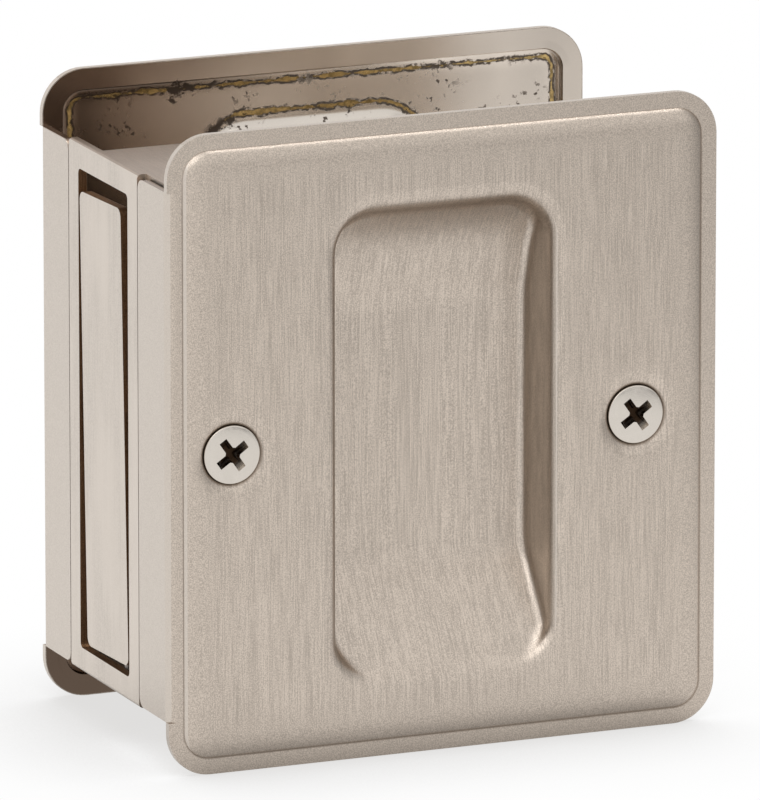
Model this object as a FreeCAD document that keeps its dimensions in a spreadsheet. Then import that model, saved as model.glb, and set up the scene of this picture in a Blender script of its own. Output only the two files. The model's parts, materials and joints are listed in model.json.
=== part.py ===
import FreeCAD, Part
import math
import os
import Sketcher

# Pocket door pull: X runs into the door from its edge, Y through it, Z up from the plates' lower edges

# Driving dimensions, in millimetres and degrees
DRIVING = {
    # Plates that cover the door's two faces
    "door_thickness": 34.925,
    "plate_width": 63.5,
    "plate_height": 69.85,
    "plate_corner": 4.76,
    "plate_sheet": 0.8,
    "rim_width": 1.75,
    "panel_raise": 0.8,
    "panel_edge": 0.7,
    "panel_inner_edge": 0.4,
    # Flange folded round the door's edge
    "fold_radius": 1.1,
    "flange_depth": 8.3,
    "flange_height": 57.8,
    "flange_corner": 1.2,
    # Finger cup
    "cup_width": 25.0,
    "cup_height": 52.4,
    "cup_drop": 0.7,
    "cup_depth": 7.8,
    "cup_floor_length": 28.0,
    "cup_end_wall": 2.2,
    "cup_corner": 5.0,
    "cup_floor_radius": 1.4,
    "cup_lip": 1.4,
    # Through bolts
    "bolt_inset": 7.2,
    "bolt_spacing": 46.8,
    "dimple_diameter": 7.4,
    "dimple_lip": 1.2,
    "cone_angle": 82.0,
    "head_diameter": 6.4,
    "head_edge": 0.35,
    "barrel_diameter": 5.0,
    "barrel_clearance": 0.15,
    "barrel_end_gap": 2.0,
    "seat_clearance": 0.03,
    "screw_diameter": 3.5,
    "screw_length": 16.0,
    "thread_clearance": 0.05,
    "thread_spare": 3.0,
    "recess_length": 3.9,
    "recess_width": 1.0,
    "recess_depth": 1.3,
    "recess_turn": 35.0,
    # Case at the door's edge
    "case_sheet": 1.0,
    "case_height": 58.5,
    "case_bend": 0.5,
    "seam_gap": 0.15,
    "slot_border": 2.75,
    "slot_corner": 0.6,
    "leg_depth": 16.0,
    "leg_rear_edge": 2.4,
    "leg_flange_gap": 0.25,
    "ear_radius": 5.5,
    "ear_door_gap": 0.25,
    # Sprung pull in the case's slot
    "pull_sheet": 1.0,
    "pull_lean": 2.0,
    "pull_side_gap": 0.3,
    "pull_top_gap": 2.2,
    "pull_bottom_gap": 0.9,
    "pull_corner": 1.0,
    "pull_ear_radius": 4.6,
    "pivot_clearance": 0.1,
    "wing_height": 2.6,
    "wing_reach": 1.3,
    "wing_gap": 0.12,
    "swing_limit": 25.0,
    # Return spring
    "wire_diameter": 0.7,
    "coil_clearance": 0.35,
    "coil_turns": 4.0,
    "coil_pitch": 0.85,
    "arm_gap": 0.05,
    "long_arm_corner_gap": 0.3,
    "short_arm_height": 16.0,
}


class Size:
    """A number together with the sheet expression that it comes from."""

    def __init__(self, number, text):
        self.number = number
        self.text = text

    def __add__(self, other):
        other = as_size(other)
        return Size(self.number + other.number, f"({self.text} + {other.text})")

    def __sub__(self, other):
        other = as_size(other)
        return Size(self.number - other.number, f"({self.text} - {other.text})")

    def __mul__(self, other):
        other = as_size(other)
        return Size(self.number * other.number, f"({self.text} * {other.text})")

    def __truediv__(self, other):
        other = as_size(other)
        return Size(self.number / other.number, f"({self.text} / {other.text})")

    def __neg__(self):
        return Size(-self.number, f"(0 - {self.text})")


def as_size(value):
    return value if isinstance(value, Size) else Size(float(value), str(value))


def root(size):
    return Size(math.sqrt(size.number), f"sqrt({size.text})")


def sine(angle):
    return Size(math.sin(math.radians(angle.number)), f"sin({angle.text})")


def cosine(angle):
    return Size(math.cos(math.radians(angle.number)), f"cos({angle.text})")


def tangent(angle):
    return Size(math.tan(math.radians(angle.number)), f"tan({angle.text})")


# Two lengths closer than this count as equal
LENGTH_TOLERANCE = 1e-4

doc = FreeCAD.newDocument("pocket_door_pull")


def make_sheet():
    """Write the driving dimensions to the sheet and return each as a Size under its alias."""
    sheet = doc.addObject("Spreadsheet::Sheet", "Sizes")
    for row, (alias, number) in enumerate(DRIVING.items(), start=1):
        sheet.set(f"A{row}", alias)
        sheet.set(f"B{row}", str(number))
        sheet.setAlias(f"B{row}", alias)
    doc.recompute()
    return {alias: Size(number, f"Sizes.{alias}") for alias, number in DRIVING.items()}


size = make_sheet()
ZERO = as_size(0)

# Sizes that follow from the driving dimensions
half_width = size["plate_width"] / 2
half_height = size["plate_height"] / 2
panel_front = size["plate_sheet"] + size["panel_raise"]
panel_back = size["panel_raise"]
near_bolt = size["bolt_inset"] - half_width
barrel_radius = size["barrel_diameter"] / 2
hole_radius = barrel_radius + size["barrel_clearance"]
cone_slope = tangent(size["cone_angle"] / 2)
flange_end = size["flange_depth"] - size["plate_sheet"]
rim_back = size["door_thickness"] / 2
case_half_width = rim_back - flange_end - size["seam_gap"]
slot_width = (case_half_width - size["slot_border"]) * 2
slot_height = size["case_height"] - size["slot_border"] * 2
pull_height = slot_height - size["pull_top_gap"] - size["pull_bottom_gap"]
lean_drift = pull_height * tangent(size["pull_lean"])
pull_width = slot_width - size["pull_side_gap"] * 2 - lean_drift


def vector(x, y, z):
    return FreeCAD.Vector(x, y, z)


def origin_item(body, role):
    return next(item for item in body.Origin.OriginFeatures if item.Role == role)


def new_body(label, base, turn=ZERO):
    """Start a body whose place, and turn about X, follow the sheet."""
    body = doc.addObject("PartDesign::Body", label)
    body.Label = label
    body.Placement = FreeCAD.Placement(vector(0, 0, 0), FreeCAD.Rotation(vector(1, 0, 0), turn.number))
    for path, number in zip(("Base.x", "Base.y", "Base.z"), base):
        body.setExpression(f"Placement.{path}", number.text)
    if turn.number:
        body.setExpression("Placement.Rotation.Angle", turn.text)
    return body


def new_sketch(body, name, role, across=ZERO, out=ZERO):
    """Start a sketch on one of the body's own planes, shifted across it or out of it."""
    sketch = body.newObject("Sketcher::SketchObject", name)
    sketch.AttachmentSupport = [(origin_item(body, role), "")]
    sketch.MapMode = "FlatFace"
    sketch.setExpression("AttachmentOffset.Base.x", across.text)
    sketch.setExpression("AttachmentOffset.Base.z", out.text)
    return sketch


def bind(sketch, constraint, number):
    """Add a dimension to a sketch and tie it to the sheet."""
    index = sketch.addConstraint(constraint)
    sketch.setExpression(f"Constraints[{index}]", number.text)


def pin_point(sketch, item, end, x, y):
    bind(sketch, Sketcher.Constraint("DistanceX", -1, 1, item, end, x.number), x)
    bind(sketch, Sketcher.Constraint("DistanceY", -1, 1, item, end, y.number), y)


def arc_between(start, finish, radius):
    """The shorter anticlockwise arc of a given radius from one point to another."""
    chord = finish - start
    rise = math.sqrt(max(radius ** 2 - chord.Length ** 2 / 4, 0.0))
    centre = (start + finish) / 2 + vector(-chord.y, chord.x, 0) / chord.Length * rise
    circle = Part.Circle(centre, vector(0, 0, 1), radius)
    angles = [math.atan2(point.y - centre.y, point.x - centre.x) for point in (start, finish)]
    return Part.ArcOfCircle(circle, *angles)


def draw_loop(sketch, corners):
    """Draw a closed loop: each corner is x, y and, where an arc leaves it, that arc's radius and sense."""
    points = [vector(x.number, y.number, 0) for x, y, *arc in corners]
    ends = []
    for place, (x, y, *arc) in enumerate(corners):
        start = points[place]
        finish = points[(place + 1) % len(points)]
        if not arc:
            ends.append((sketch.addGeometry(Part.LineSegment(start, finish)), 1, 2))
        elif arc[1:]:
            ends.append((sketch.addGeometry(arc_between(finish, start, arc[0].number)), 2, 1))
        else:
            ends.append((sketch.addGeometry(arc_between(start, finish, arc[0].number)), 1, 2))
    for place, (x, y, *arc) in enumerate(corners):
        item, first, last = ends[place]
        following, next_first, next_last = ends[(place + 1) % len(ends)]
        sketch.addConstraint(Sketcher.Constraint("Coincident", item, last, following, next_first))
        pin_point(sketch, item, first, x, y)
        if arc:
            bind(sketch, Sketcher.Constraint("Radius", item, arc[0].number), arc[0])


def draw_circle(sketch, x, y, radius):
    circle = Part.Circle(vector(x.number, y.number, 0), vector(0, 0, 1), radius.number)
    item = sketch.addGeometry(circle)
    pin_point(sketch, item, 3, x, y)
    bind(sketch, Sketcher.Constraint("Radius", item, radius.number), radius)


def box_loop(left, low, right, high):
    return [(left, low), (right, low), (right, high), (left, high)]


def round_box_loop(left, low, right, high, radius):
    return [
        (left + radius, low),
        (right - radius, low, radius),
        (right, low + radius),
        (right, high - radius, radius),
        (right - radius, high),
        (left + radius, high, radius),
        (left, high - radius),
        (left, low + radius, radius),
    ]


def settle(feature):
    """Recompute, and stop where the feature failed."""
    doc.recompute()
    if not feature.isValid():
        raise RuntimeError(f"{feature.Name}: {feature.getStatusString()}")
    return feature


def extrude(body, kind, name, sketch, length, both_ways=False, reverse=False):
    """Pad or pocket a sketch, and stop where it leaves the solid as it was."""
    before = body.Shape.Volume if body.Tip else 0.0
    feature = body.newObject(f"PartDesign::{kind}", name)
    feature.Profile = sketch
    feature.SideType = "Symmetric" if both_ways else "One side"
    feature.Reversed = reverse
    feature.setExpression("Length", length.text)
    settle(feature)
    if abs(body.Shape.Volume - before) < LENGTH_TOLERANCE:
        raise RuntimeError(f"{name} changes nothing")
    return feature


def turn_profile(body, kind, name, sketch):
    """Revolve or groove a sketch about its own upright axis."""
    feature = body.newObject(f"PartDesign::{kind}", name)
    feature.Profile = sketch
    feature.ReferenceAxis = (sketch, ["V_Axis"])
    feature.Angle = 360
    return settle(feature)


def round_edges(body, name, radius, wanted):
    """Round every edge of the body's last feature whose bounding box passes the test."""
    base = body.Tip
    edges = [f"Edge{n}" for n, edge in enumerate(base.Shape.Edges, start=1) if wanted(edge.BoundBox)]
    if not edges:
        raise RuntimeError(f"{name} finds no edge")
    fillet = body.newObject("PartDesign::Fillet", name)
    fillet.Base = (base, edges)
    fillet.setExpression("Radius", radius.text)
    settle(fillet)


def repeat(body, kind, name, originals, **settings):
    """Mirror features or repeat them in a pattern, and make that the body's last feature."""
    pattern = body.newObject(f"PartDesign::{kind}", name)
    pattern.Originals = originals
    for key, setting in settings.items():
        setattr(pattern, key, setting)
    body.Tip = pattern
    return settle(pattern)


def near(a, b):
    return abs(a - b) < LENGTH_TOLERANCE


def reach_x(box):
    return max(abs(box.XMin), abs(box.XMax))


def reach_y(box, middle=0.0):
    return max(abs(box.YMin - middle), abs(box.YMax - middle))


def flat_x(box, place):
    return near(box.XMin, place.number) and near(box.XMax, place.number)


def flat_z(box, place):
    return near(box.ZMin, place.number) and near(box.ZMax, place.number)


def cup_profile(offset, top):
    """Section of the finger cup along its height, grown outwards by an offset."""
    middle = -size["cup_drop"]
    half = size["cup_height"] / 2 + offset
    flat = size["cup_floor_length"] / 2
    run = size["cup_height"] / 2 - flat
    fall = size["cup_depth"] - size["cup_end_wall"]
    ramp = (run * run + fall * fall) / (fall * 2)
    floor = panel_front - size["cup_depth"]
    grown = ramp + offset
    wall_foot = floor + ramp - root(grown * grown - (run + offset) * (run + offset))
    return [
        (middle - half, top),
        (middle - half, wall_foot, grown),
        (middle - flat, floor - offset),
        (middle + flat, floor - offset, grown),
        (middle + half, wall_foot),
        (middle + half, top),
    ]


def on_cup_wall(box, offset):
    """True where an edge lies within the cup's outline and reaches one of its walls."""
    across = size["cup_width"].number / 2 + offset.number
    up = size["cup_height"].number / 2 + offset.number
    reach = reach_y(box, -size["cup_drop"].number)
    within = reach_x(box) < across + LENGTH_TOLERANCE and reach < up + LENGTH_TOLERANCE
    return within and (near(reach_x(box), across) or near(reach, up))


def bend_cup(body, name, offset, panel, lip):
    """Round the cup's upright corners, the foot of its walls and its mouth, grown by an offset."""
    floor = (panel_front - size["cup_depth"] - offset).number - LENGTH_TOLERANCE
    mouth = panel.number - LENGTH_TOLERANCE
    middle = -size["cup_drop"].number
    floor_end = size["cup_floor_length"].number / 2
    end_wall = size["cup_height"].number / 2 + offset.number

    def is_upright(box):
        return near(box.XMin, box.XMax) and near(box.YMin, box.YMax)

    def at_corner(box):
        return is_upright(box) and on_cup_wall(box, offset) and near(reach_y(box, middle), end_wall)

    def at_foot(box):
        below_mouth = floor < box.ZMin and box.ZMax < mouth
        across_floor = near(box.YMin, box.YMax) and near(reach_y(box, middle), floor_end)
        return on_cup_wall(box, offset) and below_mouth and not across_floor and not is_upright(box)

    def at_mouth(box):
        return on_cup_wall(box, offset) and flat_z(box, panel)

    round_edges(body, f"{name}_corners", size["cup_corner"] + offset, at_corner)
    round_edges(body, f"{name}_foot", size["cup_floor_radius"] + offset, at_foot)
    round_edges(body, f"{name}_mouth", lip, at_mouth)


def add_cup(body):
    """Form the finger cup: its back as a boss and its inside as a pocket, both then bent round."""
    sheet = size["plate_sheet"]
    back = new_sketch(body, "cup_back_section", "YZ_Plane")
    draw_loop(back, cup_profile(sheet, panel_back + sheet / 2))
    extrude(body, "Pad", "cup_back", back, size["cup_width"] + sheet * 2, both_ways=True)
    inside = new_sketch(body, "cup_section", "YZ_Plane")
    draw_loop(inside, cup_profile(ZERO, panel_front))
    extrude(body, "Pocket", "cup", inside, size["cup_width"], both_ways=True)
    bend_cup(body, "cup", ZERO, panel_front, size["cup_lip"])
    bend_cup(body, "cup_back", sheet, panel_back, size["cup_lip"] - sheet)


def pair_up(body, originals):
    """Repeat what is at the near bolt at the far one."""
    along = (origin_item(body, "X_Axis"), [""])
    pattern = repeat(body, "LinearPattern", "bolt_pair", originals, Direction=along, Occurrences=2)
    pattern.setExpression("Length", size["bolt_spacing"].text)
    settle(pattern)


def add_dimples(body):
    """Press a cone with a rounded mouth into the panel at each bolt hole."""
    sheet = size["plate_sheet"]
    lip = size["dimple_lip"]
    half_angle = size["cone_angle"] / 2
    bend = lip * tangent((as_size(90) - half_angle) / 2)
    mouth = size["dimple_diameter"] / 2
    depth = (mouth - hole_radius) / cone_slope
    shift = sheet / sine(half_angle)
    end = depth + sheet / 2
    foot = panel_front - end
    back_at_panel = mouth - (sheet - shift) * cone_slope
    back_at_foot = mouth - (end - shift) * cone_slope
    back = new_sketch(body, "dimple_back_section", "XZ_Plane", across=near_bolt)
    draw_loop(back, [
        (ZERO, foot),
        (back_at_foot, foot),
        (back_at_panel, panel_back),
        (back_at_panel, panel_back + sheet / 2),
        (ZERO, panel_back + sheet / 2),
    ])
    boss = turn_profile(body, "Revolution", "dimple_back", back)
    front = new_sketch(body, "dimple_section", "XZ_Plane", across=near_bolt)
    draw_loop(front, [
        (ZERO, foot - sheet),
        (hole_radius, foot - sheet),
        (hole_radius, panel_front - depth),
        (mouth - bend * sine(half_angle), panel_front - bend * cosine(half_angle), lip, "clockwise"),
        (mouth + bend, panel_front),
        (ZERO, panel_front),
    ])
    hole = turn_profile(body, "Groove", "dimple", front)
    pair_up(body, [boss, hole])


def add_flange(body):
    """Fold the strip that wraps the door's edge, from the rim's front round to its free edge."""
    sheet = size["plate_sheet"]
    fold = size["fold_radius"]
    section = new_sketch(body, "flange_section", "XZ_Plane")
    draw_loop(section, [
        (-half_width, -flange_end),
        (sheet - half_width, -flange_end),
        (sheet - half_width, sheet - fold, fold - sheet, "clockwise"),
        (fold - half_width, ZERO),
        (fold - half_width, sheet, fold),
        (-half_width, sheet - fold),
    ])
    extrude(body, "Pad", "flange", section, size["flange_height"], both_ways=True)

    def at_free_corner(box):
        return flat_z(box, -flange_end) and near(box.YMin, box.YMax)

    round_edges(body, "flange_corners", size["flange_corner"], at_free_corner)


def make_plate(label, place, turn):
    """One stamped plate: rim, folded flange, raised panel, finger cup and dimpled holes."""
    sheet = size["plate_sheet"]
    corner = size["plate_corner"]
    rim = size["rim_width"]
    body = new_body(label, (ZERO, place, half_height), turn)
    flange_half = size["flange_height"] / 2
    fold_line = size["fold_radius"] - half_width
    rim_outline = round_box_loop(-half_width, -half_height, half_width, half_height, corner)
    fold_notch = [
        (-half_width, flange_half),
        (fold_line, flange_half),
        (fold_line, -flange_half),
        (-half_width, -flange_half),
    ]
    outline = new_sketch(body, "rim_outline", "XY_Plane")
    draw_loop(outline, rim_outline[:7] + fold_notch + rim_outline[7:])
    extrude(body, "Pad", "rim", outline, sheet)
    add_flange(body)

    def panel_loop(inset):
        across = half_width - inset
        up = half_height - inset
        return round_box_loop(-across, -up, across, up, corner - inset)

    panel = new_sketch(body, "panel_outline", "XY_Plane", out=sheet)
    draw_loop(panel, panel_loop(rim))
    extrude(body, "Pad", "panel", panel, size["panel_raise"])
    round_edges(body, "panel_edge", size["panel_edge"], lambda box: flat_z(box, panel_front))
    hollow = new_sketch(body, "panel_hollow_outline", "XY_Plane")
    draw_loop(hollow, panel_loop(rim + sheet))
    extrude(body, "Pocket", "panel_hollow", hollow, size["panel_raise"], reverse=True)

    def at_hollow_edge(box):
        crease = rim.number + LENGTH_TOLERANCE
        within = reach_x(box) < half_width.number - crease and reach_y(box) < half_height.number - crease
        return within and flat_z(box, panel_back)

    round_edges(body, "panel_inner_edge", size["panel_inner_edge"], at_hollow_edge)
    add_cup(body)
    add_dimples(body)
    return body


# Height of the cone's rim on a head that sits in a dimple, from the plate's inner face
head_sink = (size["dimple_diameter"] - size["head_diameter"]) / 2 / cone_slope
head_seat = panel_front - head_sink + size["seat_clearance"]
head_top = head_seat + size["head_edge"]
head_radius = size["head_diameter"] / 2


def make_screws():
    """Two flat-head screws with a cross recess, seated in the front plate."""
    radius = size["screw_diameter"] / 2
    body = new_body("plate_screws", (near_bolt, -rim_back, half_height), as_size(90))
    section = new_sketch(body, "screw_section", "XZ_Plane")
    draw_loop(section, [
        (ZERO, head_seat - size["screw_length"]),
        (radius, head_seat - size["screw_length"]),
        (radius, head_seat - (head_radius - radius) / cone_slope),
        (head_radius, head_seat),
        (head_radius, head_top),
        (ZERO, head_top),
    ])
    screw = turn_profile(body, "Revolution", "screw", section)
    cross = new_sketch(body, "recess_outline", "XY_Plane", out=head_top)
    cross.setExpression("AttachmentOffset.Rotation.Angle", size["recess_turn"].text)
    arm = size["recess_length"] / 2
    half = size["recess_width"] / 2
    draw_loop(cross, [
        (-arm, -half), (-half, -half), (-half, -arm),
        (half, -arm), (half, -half), (arm, -half),
        (arm, half), (half, half), (half, arm),
        (-half, arm), (-half, half), (-arm, half),
    ])
    recess = extrude(body, "Pocket", "recess", cross, size["recess_depth"])
    pair_up(body, [screw, recess])
    return body


def make_barrels():
    """Two flat-head barrel nuts, seated in the rear plate and threaded for the screws."""
    bore = size["screw_diameter"] / 2 + size["thread_clearance"]
    end = size["barrel_end_gap"] - size["door_thickness"]
    screw_tip = size["screw_length"] - head_seat - size["door_thickness"]
    body = new_body("barrel_nuts", (near_bolt, rim_back, half_height), as_size(-90))
    section = new_sketch(body, "barrel_section", "XZ_Plane")
    draw_loop(section, [
        (bore, end),
        (barrel_radius, end),
        (barrel_radius, head_seat - (head_radius - barrel_radius) / cone_slope),
        (head_radius, head_seat),
        (head_radius, head_top),
        (ZERO, head_top),
        (ZERO, screw_tip + size["thread_spare"]),
        (bore, screw_tip + size["thread_spare"]),
    ])
    barrel = turn_profile(body, "Revolution", "barrel", section)
    pair_up(body, [barrel])
    return body


def make_case():
    """Slotted face at the door's edge, with a leg at each end and an ear that hangs on the near barrel."""
    sheet = size["case_sheet"]
    half = size["case_height"] / 2
    setback = size["plate_sheet"] + size["leg_flange_gap"]
    reach = rim_back - size["ear_door_gap"]
    pivot = size["bolt_inset"]
    radius = size["ear_radius"]
    body = new_body("edge_case", (-half_width, ZERO, half_height))
    face = new_sketch(body, "face_outline", "YZ_Plane")
    draw_loop(face, box_loop(-case_half_width, -half, case_half_width, half))
    across = slot_width / 2
    up = slot_height / 2
    draw_loop(face, round_box_loop(-across, -up, across, up, size["slot_corner"]))
    extrude(body, "Pad", "face", face, sheet)
    plan = new_sketch(body, "leg_outline", "XY_Plane", out=half - sheet)
    draw_loop(plan, [
        (ZERO, -case_half_width),
        (setback, -case_half_width),
        (setback, -reach),
        (size["leg_depth"], -reach),
        (size["leg_depth"], size["leg_rear_edge"]),
        (ZERO, size["leg_rear_edge"]),
    ])
    leg = extrude(body, "Pad", "leg", plan, sheet)
    side = new_sketch(body, "ear_outline", "XZ_Plane", out=reach - sheet)
    draw_loop(side, [
        (pivot - radius, ZERO, radius),
        (pivot, -radius, radius),
        (pivot + radius, ZERO),
        (pivot + radius, half),
        (pivot - radius, half),
    ])
    draw_circle(side, pivot, ZERO, hole_radius)
    ear = extrude(body, "Pad", "ear", side, sheet)
    half_turn = {"Axis": (origin_item(body, "X_Axis"), [""]), "Angle": 360, "Occurrences": 2}
    repeat(body, "PolarPattern", "leg_and_ear_pair", [leg, ear], **half_turn)

    def at_bend(box):
        at_end = near(max(abs(box.ZMin), abs(box.ZMax)), half.number) and near(box.ZMin, box.ZMax)
        along_face = flat_x(box, ZERO)
        along_ear = near(box.YMin, box.YMax) and near(reach_y(box), reach.number)
        return at_end and (along_face or along_ear)

    round_edges(body, "bends", size["case_bend"], at_bend)
    return body


def make_pull():
    """Sprung lever in the slot: a flat face, two ears on the near barrel and wings that stop its swing."""
    sheet = size["pull_sheet"]
    front = -size["bolt_inset"]
    half = pull_width / 2
    radius = size["pull_ear_radius"]
    slot_half = slot_height / 2
    body = new_body("edge_pull", (near_bolt, ZERO, half_height), -size["pull_lean"])
    face = new_sketch(body, "pull_outline", "YZ_Plane", out=front)
    low = size["pull_bottom_gap"] - slot_half
    high = slot_half - size["pull_top_gap"]
    draw_loop(face, round_box_loop(-half, low, half, high, size["pull_corner"]))
    extrude(body, "Pad", "pull_face", face, sheet)
    side = new_sketch(body, "pull_ear_outline", "XZ_Plane", out=half - sheet)
    draw_loop(side, [
        (front, -radius),
        (ZERO, -radius, radius),
        (radius, ZERO, radius),
        (ZERO, radius),
        (front, radius),
    ])
    play = size["pivot_clearance"] + half * sine(size["pull_lean"])
    draw_circle(side, ZERO, ZERO, barrel_radius + play)
    ear = extrude(body, "Pad", "pull_ear", side, sheet)
    case_back = front + size["case_sheet"]
    limit = size["swing_limit"]
    travel_stop = (case_back + radius * sine(limit)) / cosine(limit)
    outer = slot_width / 2 + size["wing_reach"]
    stops = [ear]
    for name, place, foot in (
        ("rest_wing", case_back, radius - size["wing_height"]),
        ("travel_wing", travel_stop, -radius),
    ):
        wing = new_sketch(body, f"{name}_outline", "YZ_Plane", out=place + size["wing_gap"])
        draw_loop(wing, box_loop(-outer, foot, sheet / 2 - half, foot + size["wing_height"]))
        stops.append(extrude(body, "Pad", name, wing, sheet))
    mirror_plane = (origin_item(body, "XZ_Plane"), [""])
    repeat(body, "Mirrored", "pull_ear_pair", stops, MirrorPlane=mirror_plane)
    return body


def make_spring():
    """Torsion spring round the near barrel: a long arm on the case and a short one on the pull."""
    wire = size["wire_diameter"].number
    coil = barrel_radius.number + size["coil_clearance"].number + wire / 2
    pitch = size["coil_pitch"].number
    case_back = size["case_sheet"].number - size["bolt_inset"].number
    pull_back = size["pull_sheet"].number - size["bolt_inset"].number
    rest = wire / 2 + size["arm_gap"].number
    leg_face = size["case_height"].number / 2 - size["case_sheet"].number
    long_drop = leg_face - wire / 2 - size["long_arm_corner_gap"].number
    long_tip = vector(case_back + rest, -long_drop, 0)
    short_tip = vector(pull_back + rest, size["short_arm_height"].number, 0)

    def touch_angle(tip, sense):
        return math.atan2(tip.y, tip.x) + sense * math.acos(coil / tip.Length)

    start = touch_angle(long_tip, -1)
    finish = touch_angle(short_tip, 1)
    turn = (start - finish) % math.tau + math.tau * (size["coil_turns"].number - 1)
    rise = pitch / math.tau
    slope = rise / coil
    helix = Part.makeHelix(pitch, rise * turn, coil)
    helix.translate(vector(0, 0, -rise * turn / 2))

    def arm(angle, height, length):
        """A straight arm that leaves the coil along its tangent."""
        foot = vector(coil * math.cos(angle), coil * math.sin(angle), height)
        along = vector(-math.sin(angle), math.cos(angle), slope)
        return foot, foot + along * length

    long_reach = math.sqrt(long_tip.Length ** 2 - coil ** 2)
    short_reach = math.sqrt(short_tip.Length ** 2 - coil ** 2)
    foot, tip = arm(0, -rise * turn / 2, -long_reach)
    long_arm = Part.LineSegment(tip, foot).toShape()
    short_arm = Part.LineSegment(*arm(turn, rise * turn / 2, short_reach)).toShape()
    path = Part.Wire([long_arm] + helix.Edges + [short_arm])
    section = Part.Wire([Part.makeCircle(wire / 2, tip, foot - tip)])
    spring = doc.addObject("Part::Feature", "return_spring")
    spring.Label = "return_spring"
    spring.Shape = path.makePipeShell([section], True, True)
    stand = FreeCAD.Rotation(vector(1, 0, 0), -90)
    turned = FreeCAD.Rotation(vector(0, 1, 0), -math.degrees(start))
    spring.Placement = FreeCAD.Placement(vector(near_bolt.number, 0, half_height.number), turned * stand)
    return spring


def check(parts):
    """Stop if any object failed or any sub-part has no sound shape."""
    doc.recompute()
    failed = [item.Name for item in doc.Objects if {"Invalid", "Error"} & set(item.State)]
    unsound = [part.Label for part in parts if part.Shape.isNull() or not part.Shape.isValid()]
    if failed or unsound:
        raise RuntimeError(f"failed objects {failed}, unsound sub-parts {unsound}")


parts = [
    make_plate("front_plate", -rim_back, as_size(90)),
    make_plate("rear_plate", rim_back, as_size(-90)),
    make_screws(),
    make_barrels(),
    make_case(),
    make_pull(),
    make_spring(),
]
check(parts)
os.makedirs("parts", exist_ok=True)
for part in parts:
    part.Shape.exportStep(f"parts/{part.Label}.step")
    print(f"{part.Label}: {len(part.Shape.Solids)} solids, {part.Shape.Volume:.1f} mm3")
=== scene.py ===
"""Finishes, screws, spring and studio stage for a pocket door pull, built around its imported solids."""

import json
import math
from functools import partialmethod

import bmesh
import bpy
from mathutils import Matrix, Vector


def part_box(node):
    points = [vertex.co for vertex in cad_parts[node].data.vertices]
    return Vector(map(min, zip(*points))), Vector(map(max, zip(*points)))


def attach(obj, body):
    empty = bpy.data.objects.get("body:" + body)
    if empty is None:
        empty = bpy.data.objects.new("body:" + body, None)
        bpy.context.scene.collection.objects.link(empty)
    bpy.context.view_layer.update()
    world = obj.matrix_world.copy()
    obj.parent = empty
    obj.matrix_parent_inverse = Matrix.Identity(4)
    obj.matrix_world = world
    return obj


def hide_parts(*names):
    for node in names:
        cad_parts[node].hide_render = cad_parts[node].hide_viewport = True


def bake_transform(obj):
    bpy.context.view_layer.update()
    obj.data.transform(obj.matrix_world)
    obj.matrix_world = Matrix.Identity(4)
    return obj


bl_info = {
    "name": "Pocket door pull",
    "version": (1, 0, 0),
    "blender": (4, 5, 0),
    "location": "View3D > Sidebar > Door pull",
    "description": "Finishes, screws, spring and studio stage for a pocket door pull",
    "category": "Object",
}

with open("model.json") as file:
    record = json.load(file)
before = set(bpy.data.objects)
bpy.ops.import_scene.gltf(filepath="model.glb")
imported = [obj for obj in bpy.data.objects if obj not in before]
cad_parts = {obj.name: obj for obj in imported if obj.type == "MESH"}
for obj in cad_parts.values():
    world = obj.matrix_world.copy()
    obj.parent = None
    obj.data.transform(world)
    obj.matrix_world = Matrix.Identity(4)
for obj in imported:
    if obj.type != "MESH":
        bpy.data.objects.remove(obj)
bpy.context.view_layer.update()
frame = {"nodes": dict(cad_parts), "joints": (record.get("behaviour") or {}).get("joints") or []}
plate_low, plate_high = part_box("front_plate")
screws_low, screws_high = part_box("plate_screws")
pivot = Vector(frame["joints"][0]["pos_m"])

HALF_WIDTH = (plate_high.x - plate_low.x) / 2
HALF_HEIGHT = (plate_high.z - plate_low.z) / 2
SCREW_RADIUS = (screws_high.z - screws_low.z) / 2
SCREW_SPACING = screws_high.x - screws_low.x - 2 * SCREW_RADIUS
BOLTS = (pivot.x, pivot.x + SCREW_SPACING)
MM = 0.001
WELD = 0.0005 * MM
BUMP = 0.006 * MM

# Sharpest bends that are shaded smooth, in degrees
SHEET_CREASE = 24
SCREW_CREASE = 28
WIRE_CREASE = 40


# Sizes and colours

def length(name, description, default):
    return bpy.props.FloatProperty(
        name=name, description=description, default=default, min=0.0, unit="LENGTH", precision=5)


def angle(name, description, degrees):
    return bpy.props.FloatProperty(
        name=name, description=description, default=math.radians(degrees), subtype="ANGLE")


def share(name, description, default):
    return bpy.props.FloatProperty(
        name=name, description=description, default=default, min=0.0, max=1.0, subtype="FACTOR")


def colour(name, description, default):
    return bpy.props.FloatVectorProperty(
        name=name, description=description, default=default, min=0.0, max=1.0, size=3, subtype="COLOR")


def power(name, description, default):
    return bpy.props.FloatProperty(
        name=name, description=description, default=default, min=0.0, unit="POWER")


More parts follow.
